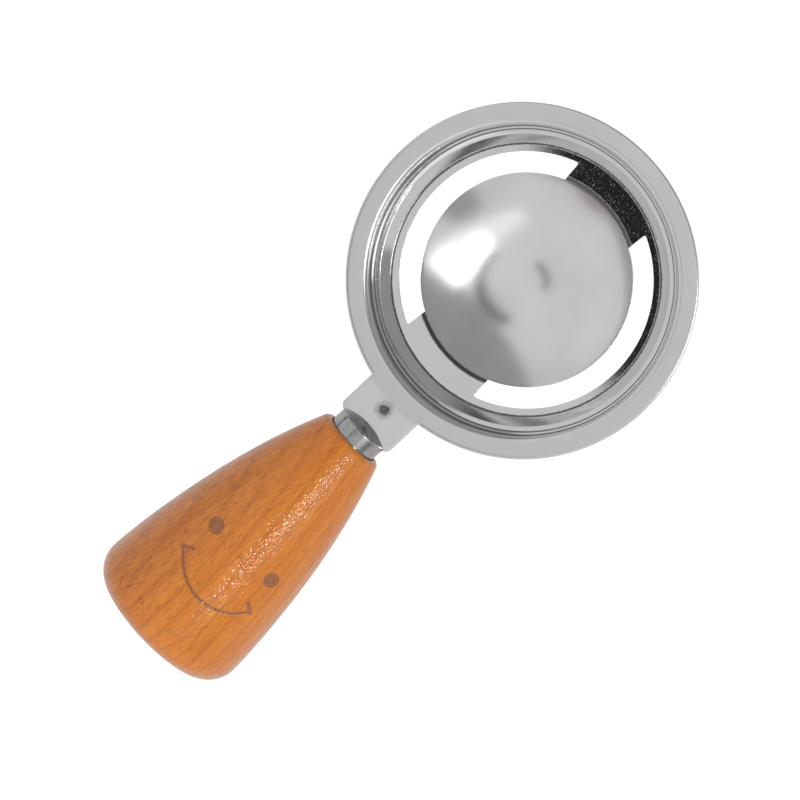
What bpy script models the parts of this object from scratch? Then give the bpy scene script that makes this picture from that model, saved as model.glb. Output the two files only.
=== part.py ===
"""Egg separator with a turned wooden handle.

The design frame has its origin on the cup's axis at the height of the rim's top face. X runs
along the handle, away from the cup, and Z is up. An empty then places the whole assembly so that
the middle of its underside is the world's origin. All sizes are in metres.
"""

import math

import bmesh
import bpy
from mathutils import Vector

# Fits
GAP = 0.0003

# Pressed cup: one stainless sheet, sized from the rim inwards
SHEET = 0.0006
RIM_RADIUS = 0.0400
RIM_EDGE_RADIUS = 0.00045
FLANGE_WIDTH = 0.00505
SHOULDER_RADIUS = 0.0015
# Each step of the wall is (how far inwards, how far down, corner radius), from the flange's inner line
WALL_STEPS = (
    (0.0002, 0.0032, 0.0003),
    (0.0006, 0.00035, 0.0003),
    (0.0001, 0.00065, 0.0003),
    (0.00115, 0.0004, 0.0004),
    (0.0020, 0.00205, 0.0008),
)
LEDGE_WIDTH = 0.00185
LEDGE_SLOPE = math.radians(5.3)
SLOT_WIDTH = 0.00495
SLOT_CORNER_RADIUS = 0.0007
BRIDGE_OUTER_WIDTH = 0.0218
BRIDGE_INNER_WIDTH = 0.0208
DISH_LIP = 0.0002
DISH_EDGE_RADIUS = 0.0016
DISH_DEPTH = 0.0090

# Tab that carries the handle, and its spot weld
TAB_WIDTH = 0.0155
TAB_LENGTH = 0.0094
TAB_CORNER_RADIUS = 0.0017
TAB_ROOT_OVERLAP = 0.0022
WELD_FROM_RIM = 0.0026
WELD_RADIUS = 0.0015
WELD_DEPTH = 0.00025
WELD_CUTTER_SPREAD = 1.25

# Tang: a flat strip welded under the tab
TANG_THICKNESS = 0.0012
TANG_TONGUE_INSET = 0.0009
TANG_TONGUE_START = 0.0023
TANG_CORNER_RADIUS = 0.0012
TANG_SHANK_WIDTH = 0.0046
TANG_SHOULDER = 0.0011
TANG_IN_WOOD = 0.0240

# Ferrule: a drawn cap with a shallow domed nose
FERRULE_RADIUS = 0.0064
FERRULE_WALL = 0.0005
FERRULE_EDGE_RADIUS = 0.0008
NOSE_LENGTH = 0.00206
FERRULE_EXPOSED = 0.0032
FERRULE_SEATED = 0.0060

# Turned handle
HANDLE_LENGTH = 0.0657
NECK_WALL = 0.0014
NECK_EDGE_RADIUS = 0.0014
BELLY_RADIUS = 0.0197
BELLY_FULLNESS = 0.833
NECK_TENSION = 0.42
BELLY_TENSION = 0.065
END_CORNER_RADIUS = 0.0071
END_DOME_RADIUS = 0.052
TANG_BORE_RADIUS = 0.0040

# Mesh fineness: segments of a whole turn, steps of an arc or curve
CUP_SEGMENTS = 56
HANDLE_SEGMENTS = 40
CORE_SEGMENTS = 32
WELD_SEGMENTS = 20
SMALL_ARC_STEPS = 2
EDGE_ARC_STEPS = 3
NECK_ARC_STEPS = 4
DISH_STEPS = 9
SLOT_STEPS = 24
WELD_STEPS = 4
NOSE_STEPS = 5
BELLY_STEPS = 22
END_CORNER_STEPS = 6
END_DOME_STEPS = 4
SHARP_ANGLE = math.radians(28)
MERGE_DISTANCE = 1e-6
SHORTEST_ARC = 1e-7

# Stations along the handle, from the cup's axis
TAB_END = RIM_RADIUS + TAB_LENGTH
FERRULE_FRONT = TAB_END
HANDLE_FRONT = FERRULE_FRONT + FERRULE_EXPOSED
FERRULE_REAR = HANDLE_FRONT + FERRULE_SEATED
SOCKET_END = FERRULE_REAR + GAP
TANG_END = HANDLE_FRONT + TANG_IN_WOOD
CORE_END = TANG_END + 3 * GAP
BORE_END = CORE_END + GAP
HANDLE_END = HANDLE_FRONT + HANDLE_LENGTH

# Heights, from the rim's top face
TANG_TOP = -(SHEET + GAP)
TANG_BOTTOM = TANG_TOP - TANG_THICKNESS
AXIS_HEIGHT = TANG_BOTTOM / 2

# The socket, the neck and the tang's tongue follow the ferrule
SOCKET_RADIUS = FERRULE_RADIUS + GAP
NECK_RADIUS = SOCKET_RADIUS + NECK_WALL
TANG_TONGUE_WIDTH = 2 * (FERRULE_RADIUS - FERRULE_WALL - TANG_TONGUE_INSET)


def cup_radii():
    """Radii of the wall's foot and of the slots, from the rim inwards."""
    foot = RIM_RADIUS - FLANGE_WIDTH - sum(step[0] for step in WALL_STEPS)
    slot_outer = foot - LEDGE_WIDTH
    return foot, slot_outer, slot_outer - SLOT_WIDTH


def unit(a, b):
    """Direction from one (u, v) point to another."""
    length = math.hypot(b[0] - a[0], b[1] - a[1])
    return (b[0] - a[0]) / length, (b[1] - a[1]) / length


def rounded(corners, steps):
    """A path through (u, v, radius) corners, each rounded by an arc that fits its two sides."""
    path = [corners[0][:2]]
    for before, corner, after in zip(corners, corners[1:], corners[2:]):
        radius = corner[2]
        arriving = unit(before, corner)
        leaving = unit(corner, after)
        cross = arriving[0] * leaving[1] - arriving[1] * leaving[0]
        dot = arriving[0] * leaving[0] + arriving[1] * leaving[1]
        turn = math.atan2(cross, dot)
        reach = radius * math.tan(abs(turn) / 2)
        if reach < SHORTEST_ARC:
            path.append(corner[:2])
            continue
        side = math.copysign(1, turn)
        start = (corner[0] - reach * arriving[0], corner[1] - reach * arriving[1])
        centre = (start[0] - side * radius * arriving[1], start[1] + side * radius * arriving[0])
        first = math.atan2(start[1] - centre[1], start[0] - centre[0])
        for i in range(steps + 1):
            angle = first + turn * i / steps
            path.append((centre[0] + radius * math.cos(angle), centre[1] + radius * math.sin(angle)))
    path.append(corners[-1][:2])
    return path


def offset(corners, distance):
    """The corners moved to the left of the path by distance, with each arc's radius to match."""
    moved = []
    for i, corner in enumerate(corners):
        arriving = unit(corners[max(i - 1, 0)], corners[max(i, 1)])
        leaving = unit(corners[min(i, len(corners) - 2)], corners[min(i + 1, len(corners) - 1)])
        cross = arriving[0] * leaving[1] - arriving[1] * leaving[0]
        share = distance / (1 + arriving[0] * leaving[0] + arriving[1] * leaving[1])
        radius = corner[2] - math.copysign(distance, cross) if corner[2] else 0.0
        moved.append(
            (
                corner[0] - share * (arriving[1] + leaving[1]),
                corner[1] + share * (arriving[0] + leaving[0]),
                max(radius, corner[2] / 3),
            )
        )
    return moved


def arc(centre, radius, start, end, steps):
    """Points on an arc about a (u, v) centre, from one angle to another."""
    angles = [start + (end - start) * i / steps for i in range(steps + 1)]
    return [(centre[0] + radius * math.cos(a), centre[1] + radius * math.sin(a)) for a in angles]


def cup_face(distance):
    """The face of the sheet at a distance under its top face, as (radius, height) from rim to axis."""
    foot, _, slot_inner = cup_radii()
    radius = RIM_RADIUS - FLANGE_WIDTH
    height = 0.0
    corners = [(RIM_RADIUS, 0.0, 0.0), (radius, height, SHOULDER_RADIUS)]
    for inwards, down, corner_radius in WALL_STEPS:
        radius -= inwards
        height -= down
        corners.append((radius, height, corner_radius))
    lip = slot_inner + DISH_LIP
    sphere = (lip**2 + DISH_DEPTH**2) / (2 * DISH_DEPTH)
    slope = math.asin(lip / sphere)
    reach = DISH_EDGE_RADIUS * math.tan((slope - LEDGE_SLOPE) / 2)
    edge_radius = lip + reach * math.cos(slope)
    edge_height = height - (foot - edge_radius) * math.tan(LEDGE_SLOPE)
    lip_height = edge_height - reach * math.sin(slope)
    corners.append((edge_radius, edge_height, DISH_EDGE_RADIUS))
    corners.append((lip, lip_height, 0.0))
    face = rounded(offset(corners, distance), SMALL_ARC_STEPS)
    middle = (0.0, lip_height + sphere * math.cos(slope))
    dish = arc(middle, sphere + distance, slope - math.pi / 2, -math.pi / 2, DISH_STEPS)
    return face[:-1] + dish


def cup_outline():
    """Closed section of the sheet, out along its top face and back along its underside."""
    top = cup_face(0.0)
    under = cup_face(SHEET)
    edge_middle = (RIM_RADIUS - RIM_EDGE_RADIUS, -RIM_EDGE_RADIUS)
    edge = arc(edge_middle, RIM_EDGE_RADIUS, math.pi / 2, 0.0, EDGE_ARC_STEPS)
    return top[::-1][:-1] + edge + under


def sleeve_face(inset):
    """Outside of the ferrule, moved inwards by inset, as (radius, station) from nose to rear."""
    edge_centre = (FERRULE_RADIUS - FERRULE_EDGE_RADIUS, FERRULE_FRONT)
    edge = FERRULE_EDGE_RADIUS
    dome = (edge_centre[0] ** 2 + NOSE_LENGTH**2 - edge**2) / (2 * (NOSE_LENGTH - edge))
    dome_centre = (0.0, FERRULE_FRONT - NOSE_LENGTH + dome)
    meet = math.atan2(edge_centre[1] - dome_centre[1], edge_centre[0] - dome_centre[0])
    nose = arc(dome_centre, dome - inset, -math.pi / 2, meet, NOSE_STEPS)
    edge_arc = arc(edge_centre, edge - inset, meet, 0.0, EDGE_ARC_STEPS)
    return nose + edge_arc[1:] + [(FERRULE_RADIUS - inset, FERRULE_REAR)]


def ferrule_outline():
    """Closed section of the cap, up its inside and down its outside."""
    return sleeve_face(FERRULE_WALL) + sleeve_face(0.0)[::-1]


def belly_curve():
    """Cubic curve of the handle's side, as (radius, station) from the neck to the belly."""
    end_centre_radius = BELLY_RADIUS - END_CORNER_RADIUS
    dome_reach = math.sqrt((END_DOME_RADIUS - END_CORNER_RADIUS) ** 2 - end_centre_radius**2)
    belly = HANDLE_END - END_DOME_RADIUS + dome_reach
    run = belly - HANDLE_FRONT
    growth = BELLY_RADIUS - NECK_RADIUS
    points = (
        Vector((NECK_RADIUS, HANDLE_FRONT)),
        Vector((NECK_RADIUS + BELLY_FULLNESS * growth, HANDLE_FRONT + NECK_TENSION * run)),
        Vector((BELLY_RADIUS, belly - BELLY_TENSION * run)),
        Vector((BELLY_RADIUS, belly)),
    )
    curve = []
    for i in range(BELLY_STEPS + 1):
        t = i / BELLY_STEPS
        weights = ((1 - t) ** 3, 3 * t * (1 - t) ** 2, 3 * t**2 * (1 - t), t**3)
        curve.append(tuple(sum((w * p for w, p in zip(weights, points)), Vector((0, 0)))))
    return curve


def handle_outline():
    """Closed section of the wood, down its outside to the neck and up the stepped bore."""
    side = belly_curve()
    belly = side[-1][1]
    corner_centre = (BELLY_RADIUS - END_CORNER_RADIUS, belly)
    dome_centre = (0.0, HANDLE_END - END_DOME_RADIUS)
    meet = math.atan2(corner_centre[1] - dome_centre[1], corner_centre[0])
    dome = arc(dome_centre, END_DOME_RADIUS, math.pi / 2, meet, END_DOME_STEPS)
    corner = arc(corner_centre, END_CORNER_RADIUS, meet, 0.0, END_CORNER_STEPS)
    flare = unit(side[0], side[1])
    edge = min(NECK_EDGE_RADIUS, NECK_WALL)
    kept = [p for p in side if p[1] > HANDLE_FRONT + edge]
    neck_corner = (
        (NECK_RADIUS + edge * flare[0], HANDLE_FRONT + edge * flare[1], 0.0),
        (NECK_RADIUS, HANDLE_FRONT, edge),
        (SOCKET_RADIUS, HANDLE_FRONT, 0.0),
    )
    neck = rounded(neck_corner, NECK_ARC_STEPS)
    bore = [
        (SOCKET_RADIUS, SOCKET_END),
        (TANG_BORE_RADIUS, SOCKET_END),
        (TANG_BORE_RADIUS, BORE_END),
        (0.0, BORE_END),
    ]
    return dome + corner[1:] + kept[::-1][1:] + neck[1:] + bore


def core_outline():
    """Closed section of the set adhesive, which fills the ferrule and the tang's bore."""
    inside_ferrule = FERRULE_RADIUS - FERRULE_WALL - GAP
    in_bore = TANG_BORE_RADIUS - GAP
    front = FERRULE_FRONT + TANG_SHOULDER + 2 * GAP
    return [
        (0.0, CORE_END),
        (in_bore, CORE_END),
        (in_bore, FERRULE_REAR),
        (inside_ferrule, FERRULE_REAR),
        (inside_ferrule, front),
        (0.0, front),
    ]


def material(name, colour, metallic, roughness):
    made = bpy.data.materials.new(name)
    made.use_nodes = True
    shader = made.node_tree.nodes["Principled BSDF"]
    shader.inputs["Base Color"].default_value = (*colour, 1.0)
    shader.inputs["Metallic"].default_value = metallic
    shader.inputs["Roughness"].default_value = roughness
    return made


def new_object(name, mesh, parent):
    made = bpy.data.objects.new(name, mesh)
    bpy.context.scene.collection.objects.link(made)
    made.parent = parent
    return made


def turned(name, outline, segments, parent):
    """A solid of revolution from a (radius, height) outline, by a Screw modifier about local Z."""
    mesh = bpy.data.meshes.new(name)
    edges = [(i, i + 1) for i in range(len(outline) - 1)]
    mesh.from_pydata([(radius, 0.0, height) for radius, height in outline], edges, [])
    made = new_object(name, mesh, parent)
    screw = made.modifiers.new("Screw", "SCREW")
    screw.axis = "Z"
    screw.steps = segments
    screw.render_steps = segments
    screw.use_merge_vertices = True
    screw.merge_threshold = MERGE_DISTANCE
    return made


def along_handle(made):
    """Lays a piece turned about Z on the handle's axis, with its heights as stations along X."""
    made.rotation_euler = (0.0, math.pi / 2, 0.0)
    made.location = (0.0, 0.0, AXIS_HEIGHT)
    return made


def prism(name, outline, bottom, top, parent):
    """A flat outline in X and Y, extruded from one height to another."""
    mesh = bpy.data.meshes.new(name)
    bm = bmesh.new()
    face = bm.faces.new([bm.verts.new((x, y, bottom)) for x, y in outline])
    raised = bmesh.ops.extrude_face_region(bm, geom=[face])["geom"]
    rim = [v for v in raised if isinstance(v, bmesh.types.BMVert)]
    bmesh.ops.translate(bm, verts=rim, vec=(0.0, 0.0, top - bottom))
    bmesh.ops.recalc_face_normals(bm, faces=bm.faces)
    bm.to_mesh(mesh)
    bm.free()
    return new_object(name, mesh, parent)


def mirrored_plan(corners):
    """A closed plan, symmetric about the X axis, from the corners of its upper half."""
    half = rounded(corners, EDGE_ARC_STEPS)[1:-1]
    return half + [(x, -y) for x, y in half[::-1]]


def rectangle(start, end, half_width):
    """A closed plan of a box that is centred on the X axis."""
    return [(start, -half_width), (end, -half_width), (end, half_width), (start, half_width)]


def boolean(target, tool, operation):
    """Joins or cuts the target with a helper, which is then kept out of the model."""
    change = target.modifiers.new(tool.name, "BOOLEAN")
    change.operation = operation
    change.solver = "EXACT"
    change.object = tool
    tool.hide_render = True
    tool.display_type = "WIRE"


def eased(start, corner, end):
    """Points of a quadratic curve that rounds a corner, from its start up to but without its end."""
    points = []
    for i in range(EDGE_ARC_STEPS):
        t = i / EDGE_ARC_STEPS
        weights = ((1 - t) ** 2, 2 * t * (1 - t), t**2)
        points.append(tuple(sum(w * p[k] for w, p in zip(weights, (start, corner, end))) for k in (0, 1)))
    return points


def slot_plan(side):
    """Plan of the slot on one side of the X axis, an arc whose ends leave the bridges standing."""
    _, outer, inner = cup_radii()
    outer_angle = math.asin(BRIDGE_OUTER_WIDTH / 2 / outer)
    inner_angle = math.asin(BRIDGE_INNER_WIDTH / 2 / inner)
    first_angle = outer_angle + SLOT_CORNER_RADIUS / outer
    outside = arc((0.0, 0.0), outer, first_angle, math.pi - first_angle, SLOT_STEPS)
    inside = arc((0.0, 0.0), inner, math.pi - inner_angle, inner_angle, SLOT_STEPS)
    corner = (outer * math.cos(outer_angle), outer * math.sin(outer_angle))
    along_end = unit(corner, inside[-1])
    start = tuple(corner[k] + SLOT_CORNER_RADIUS * along_end[k] for k in (0, 1))
    near_corner = eased(start, corner, outside[0])
    far_corner = [(-x, y) for x, y in near_corner[::-1]]
    return [(x, side * y) for x, y in near_corner + outside + far_corner + inside]


def make_cup(parent, steel):
    cup = turned("separator_cup", cup_outline(), CUP_SEGMENTS, parent)
    tab_root = RIM_RADIUS - TAB_ROOT_OVERLAP
    tab_corners = (
        (tab_root, 0.0, 0.0),
        (tab_root, TAB_WIDTH / 2, 0.0),
        (TAB_END, TAB_WIDTH / 2, TAB_CORNER_RADIUS),
        (TAB_END, 0.0, 0.0),
    )
    boolean(cup, prism("tab_blank", mirrored_plan(tab_corners), -SHEET, 0.0, parent), "UNION")
    cut = cup_face(SHEET)[-1][1] - SHEET
    for side, name in ((1, "slot_cutter_left"), (-1, "slot_cutter_right")):
        boolean(cup, prism(name, slot_plan(side), cut, SHEET, parent), "DIFFERENCE")
    ball = (WELD_RADIUS**2 + WELD_DEPTH**2) / (2 * WELD_DEPTH)
    spread = math.asin(WELD_RADIUS / ball) * WELD_CUTTER_SPREAD
    dimple = arc((0.0, ball - WELD_DEPTH), ball, spread - math.pi / 2, -math.pi / 2, WELD_STEPS)
    cutter = turned("weld_dimple", [(0.0, dimple[0][1])] + dimple, WELD_SEGMENTS, parent)
    cutter.location.x = RIM_RADIUS + WELD_FROM_RIM
    boolean(cup, cutter, "DIFFERENCE")
    cup.data.materials.append(steel)
    return cup


def make_tang(parent, steel):
    shoulder = FERRULE_FRONT + TANG_SHOULDER
    corners = (
        (RIM_RADIUS - TANG_TONGUE_START, 0.0, 0.0),
        (RIM_RADIUS - TANG_TONGUE_START, TANG_TONGUE_WIDTH / 2, TANG_CORNER_RADIUS),
        (FERRULE_FRONT, TANG_TONGUE_WIDTH / 2, 0.0),
        (shoulder, TANG_SHANK_WIDTH / 2, 0.0),
        (TANG_END, TANG_SHANK_WIDTH / 2, TANG_CORNER_RADIUS / 2),
        (TANG_END, 0.0, 0.0),
    )
    tang = prism("tang", mirrored_plan(corners), TANG_BOTTOM, TANG_TOP, parent)
    tang.data.materials.append(steel)
    return tang


def make_ferrule(parent, steel):
    ferrule = along_handle(turned("ferrule", ferrule_outline(), HANDLE_SEGMENTS, parent))
    plan = rectangle(FERRULE_FRONT - 2 * NOSE_LENGTH, TAB_END + GAP, 2 * FERRULE_RADIUS)
    boolean(ferrule, prism("nose_slot", plan, TANG_BOTTOM - GAP, GAP, parent), "DIFFERENCE")
    ferrule.data.materials.append(steel)
    return ferrule


def make_handle(parent, wood):
    handle = along_handle(turned("handle", handle_outline(), HANDLE_SEGMENTS, parent))
    handle.data.materials.append(wood)
    return handle


def make_adhesive(parent, resin):
    core = along_handle(turned("adhesive", core_outline(), CORE_SEGMENTS, parent))
    plan = rectangle(FERRULE_FRONT, TANG_END + GAP, TANG_SHANK_WIDTH / 2 + GAP)
    boolean(core, prism("tang_channel", plan, TANG_BOTTOM - GAP, TANG_TOP + GAP, parent), "DIFFERENCE")
    core.data.materials.append(resin)
    return core


def settle(pieces):
    """Turns each piece's modifiers into its mesh, shades it smooth and keeps its edges sharp."""
    graph = bpy.context.evaluated_depsgraph_get()
    finished = [bpy.data.meshes.new_from_object(piece.evaluated_get(graph)) for piece in pieces]
    for piece, mesh in zip(pieces, finished):
        piece.modifiers.clear()
        piece.data = mesh
        mesh.name = piece.name
        mesh.shade_smooth()
        mesh.set_sharp_from_angle(angle=SHARP_ANGLE)


def main():
    for old in list(bpy.data.objects):
        bpy.data.objects.remove(old)
    belly_drop = BELLY_RADIUS - AXIS_HEIGHT
    cup_drop = -cup_face(SHEET)[-1][1]
    frame = new_object("separator_frame", None, None)
    frame.location = ((RIM_RADIUS - HANDLE_END) / 2, 0.0, max(belly_drop, cup_drop))
    polished = material("polished_steel", (0.62, 0.62, 0.62), 1.0, 0.16)
    plain = material("plain_steel", (0.50, 0.50, 0.51), 1.0, 0.35)
    wood = material("lacquered_beech", (0.56, 0.21, 0.045), 0.0, 0.35)
    resin = material("set_resin", (0.70, 0.66, 0.52), 0.0, 0.5)
    pieces = [
        make_cup(frame, polished),
        make_tang(frame, plain),
        make_ferrule(frame, polished),
        make_handle(frame, wood),
        make_adhesive(frame, resin),
    ]
    bpy.context.view_layer.update()
    settle(pieces)


main()
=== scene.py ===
"""Looks of the egg separator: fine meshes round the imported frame, materials, studio and camera.

Everything is in metres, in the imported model's frame: X runs from the cup to the handle's end and Z is up.
Places come from the frame's boxes. The cup's section is written from its rim's top face down.
"""

import math

import bmesh
import bpy
import numpy as np
from mathutils import Matrix, Vector, noise


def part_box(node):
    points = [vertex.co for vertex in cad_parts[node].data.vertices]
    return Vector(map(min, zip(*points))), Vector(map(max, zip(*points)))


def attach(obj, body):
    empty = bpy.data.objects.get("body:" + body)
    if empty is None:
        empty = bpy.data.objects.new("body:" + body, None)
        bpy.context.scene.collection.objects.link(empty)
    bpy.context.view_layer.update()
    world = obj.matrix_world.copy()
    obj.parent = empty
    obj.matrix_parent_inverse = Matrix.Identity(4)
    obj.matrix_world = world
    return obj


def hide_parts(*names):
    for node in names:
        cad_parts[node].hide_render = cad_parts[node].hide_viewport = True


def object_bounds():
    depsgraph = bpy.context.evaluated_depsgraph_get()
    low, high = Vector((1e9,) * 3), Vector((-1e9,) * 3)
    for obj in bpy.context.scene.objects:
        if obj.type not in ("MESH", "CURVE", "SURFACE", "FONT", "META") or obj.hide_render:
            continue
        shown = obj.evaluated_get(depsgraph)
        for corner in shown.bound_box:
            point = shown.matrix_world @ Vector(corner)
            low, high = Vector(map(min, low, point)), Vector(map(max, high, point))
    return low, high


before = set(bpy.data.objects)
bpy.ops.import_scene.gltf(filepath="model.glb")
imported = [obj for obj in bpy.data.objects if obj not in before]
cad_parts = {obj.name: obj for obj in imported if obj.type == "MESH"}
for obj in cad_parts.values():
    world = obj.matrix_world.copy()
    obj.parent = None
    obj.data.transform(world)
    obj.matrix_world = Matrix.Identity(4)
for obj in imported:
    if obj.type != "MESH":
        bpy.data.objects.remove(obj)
cad_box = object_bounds()

# Places read from the frame
cup_low, cup_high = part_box("separator_cup")
ferrule_low, ferrule_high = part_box("ferrule")
handle_low, handle_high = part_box("handle")
tang_low, tang_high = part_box("tang")

# Cup
SHEET = 0.0006
RIM_RADIUS = 0.0400
RIM_EDGE_RADIUS = 0.00045
CUT_EDGE_RADIUS = 0.00008
FLANGE_WIDTH = 0.00505
SHOULDER_RADIUS = 0.0015
WALL_STEPS = (
    (0.0002, 0.0032, 0.0003),
    (0.0006, 0.00035, 0.0003),
    (0.0001, 0.00065, 0.0003),
    (0.00115, 0.0004, 0.0004),
    (0.0020, 0.00205, 0.0008),
)
LEDGE_WIDTH = 0.00185
LEDGE_SLOPE = math.radians(5.3)
SLOT_WIDTH = 0.00495
SLOT_CORNER_RADIUS = 0.0008
BRIDGE_OUTER_WIDTH = 0.0218
BRIDGE_INNER_WIDTH = 0.0208
DISH_LIP = 0.0002
DISH_EDGE_RADIUS = 0.0016
DISH_DEPTH = 0.0090
TAB_WIDTH = 0.0155
TAB_CORNER_RADIUS = 0.0017
WELD_FROM_RIM = 0.0026
WELD_RADIUS = 0.0015
WELD_DEPTH = 0.00025

CUP_X = cup_low.x + RIM_RADIUS
RIM_Z = cup_high.z
TAB_END = cup_high.x - CUP_X

# Tang
TANG_TOP = tang_high.z
TANG_BOTTOM = tang_low.z
TANG_TONGUE_HALF = tang_high.y
TANG_SHANK_HALF = 0.0023
TANG_SHOULDER = 0.0011
TANG_CORNER_RADIUS = 0.0012
TANG_EDGE_RADIUS = 0.00015

# Ferrule and handle
AXIS_Z = (handle_low.z + handle_high.z) / 2
FERRULE_RADIUS = (ferrule_high.z - ferrule_low.z) / 2
FERRULE_WALL = 0.0005
FERRULE_EDGE_RADIUS = 0.0008
NOSE_LENGTH = 0.00206
FERRULE_FRONT = cup_high.x
FERRULE_REAR = ferrule_high.x
GAP = 0.0003
HANDLE_FRONT = handle_low.x
HANDLE_END = handle_high.x
NECK_WALL = 0.0014
NECK_EDGE_RADIUS = 0.0014
BELLY_RADIUS = (handle_high.z - handle_low.z) / 2
BELLY_FULLNESS = 0.833
NECK_TENSION = 0.42
BELLY_TENSION = 0.065
END_CORNER_RADIUS = 0.0071
END_DOME_RADIUS = 0.052
BELLY_X = HANDLE_END - END_DOME_RADIUS + math.sqrt(
    (END_DOME_RADIUS - END_CORNER_RADIUS) ** 2 - (BELLY_RADIUS - END_CORNER_RADIUS) ** 2
)
TANG_BORE_RADIUS = 0.0040
BORE_END = tang_high.x + 4 * GAP
SOCKET_RADIUS = FERRULE_RADIUS + GAP
SOCKET_END = FERRULE_REAR + GAP
NECK_RADIUS = SOCKET_RADIUS + NECK_WALL

# Engraved smile, in the plane that faces it: two dots and an arc with a short tick at each end
SMILE_TURN = math.radians(12.5)
EYE_FROM_END = 0.0326
EYE_SPREAD = 0.0088
EYE_RADIUS = 0.0018
MOUTH_FROM_END = 0.01885
MOUTH_RADIUS = 0.01325
MOUTH_HALF_ANGLE = math.radians(53)
MOUTH_HALF_WIDTH = 0.00034
TICK_INSIDE = 0.0023
TICK_OUTSIDE = 0.0004
TICK_HALF_WIDTH = 0.00042
ENGRAVING_DEPTH = 0.00018
ENGRAVING_SLOPE = 0.00028
ENGRAVING_MARGIN = 0.0012


# ---------------------------------------------------------------- plane geometry

def unit(a, b):
    length = math.hypot(b[0] - a[0], b[1] - a[1])
    return (b[0] - a[0]) / length, (b[1] - a[1]) / length


def arc(centre, radius, start, end, steps):
    """Points on an arc about a (u, v) centre, from one angle to another."""
    angles = [start + (end - start) * i / steps for i in range(steps + 1)]
    return [(centre[0] + radius * math.cos(a), centre[1] + radius * math.sin(a)) for a in angles]


def rounded(corners, arc_step):
    """A path through (u, v, radius) corners, each rounded by an arc that fits its two sides."""
    path = [corners[0][:2]]
    for before, corner, after in zip(corners, corners[1:], corners[2:]):
        arriving = unit(before, corner)
        leaving = unit(corner, after)
        cross = arriving[0] * leaving[1] - arriving[1] * leaving[0]
        turn = math.atan2(cross, arriving[0] * leaving[0] + arriving[1] * leaving[1])
        reach = corner[2] * math.tan(abs(turn) / 2)
        if reach < 1e-7:
            path.append(corner[:2])
            continue
        side = math.copysign(1, turn)
        start = (corner[0] - reach * arriving[0], corner[1] - reach * arriving[1])
        centre = (start[0] - side * corner[2] * arriving[1], start[1] + side * corner[2] * arriving[0])
        first = math.atan2(start[1] - centre[1], start[0] - centre[0])
        steps = max(2, math.ceil(abs(turn) / arc_step))
        path.extend(arc(centre, corner[2], first, first + turn, steps))
    path.append(corners[-1][:2])
    return path


def offset(corners, distance):
    """The corners moved to the left of the path by distance, with each arc's radius to match."""
    moved = []
    for i, corner in enumerate(corners):
        arriving = unit(corners[max(i - 1, 0)], corners[max(i, 1)])
        leaving = unit(corners[min(i, len(corners) - 2)], corners[min(i + 1, len(corners) - 1)])
        cross = arriving[0] * leaving[1] - arriving[1] * leaving[0]
        share = distance / (1 + arriving[0] * leaving[0] + arriving[1] * leaving[1])
        radius = corner[2] - math.copysign(distance, cross) if corner[2] else 0.0
        u = corner[0] - share * (arriving[1] + leaving[1])
        v = corner[1] + share * (arriving[0] + leaving[0])
        moved.append((u, v, max(radius, corner[2] / 3)))
    return moved


def inset_loop(loop, distance):
    """A closed plan loop moved to its left by distance, with mitred corners."""
    points = np.array(loop)
    before = points - np.roll(points, 1, axis=0)
    after = np.roll(points, -1, axis=0) - points
    left = []
    for side in (before, after):
        side = side / np.linalg.norm(side, axis=1)[:, None]
        left.append(np.stack([-side[:, 1], side[:, 0]], axis=1))
    total = left[0] + left[1]
    mitre = total / (1 + (left[0] * left[1]).sum(axis=1))[:, None]
    return points + distance * mitre


# ---------------------------------------------------------------- meshes

class Shell:
    """Points and faces of a mesh in the making."""

    def __init__(self):
        self.points = []
        self.faces = []

    def row(self, points):
        first = len(self.points)
        self.points.extend(tuple(float(c) for c in p) for p in points)
        return list(range(first, len(self.points)))

    def strip(self, a, b, closed=False):
        """Quads between two rows of the same length."""
        count = len(a)
        for i in range(count if closed else count - 1):
            j = (i + 1) % count
            self.faces.append((a[i], a[j], b[j], b[i]))

    def sleeve(self, rings):
        """Quads between each closed ring and the next."""
        for a, b in zip(rings, rings[1:]):
            self.strip(a, b, closed=True)

    def fan(self, tip, ring):
        """Triangles from a point to a closed ring."""
        for i in range(len(ring)):
            self.faces.append((ring[i], ring[(i + 1) % len(ring)], tip))

    def finish(self, name, place=Matrix.Identity(4)):
        """The mesh as a smooth object, put in its place, with its faces pointing out."""
        mesh = bpy.data.meshes.new(name)
        mesh.from_pydata(self.points, [], self.faces)
        mesh.transform(place)
        bm = bmesh.new()
        bm.from_mesh(mesh)
        bmesh.ops.recalc_face_normals(bm, faces=bm.faces)
        bm.to_mesh(mesh)
        bm.free()
        mesh.shade_smooth()
        made = bpy.data.objects.new(name, mesh)
        bpy.context.scene.collection.objects.link(made)
        return made


# ---------------------------------------------------------------- cup

SECTION_ARC_STEP = math.radians(9)
SHARP_ANGLE = math.radians(40)
DISH_ROWS = 44


def cup_radii():
    """Radii of the wall's foot and of the slots, from the rim inwards."""
    foot = RIM_RADIUS - FLANGE_WIDTH - sum(step[0] for step in WALL_STEPS)
    slot_outer = foot - LEDGE_WIDTH
    return foot, slot_outer, slot_outer - SLOT_WIDTH


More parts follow.
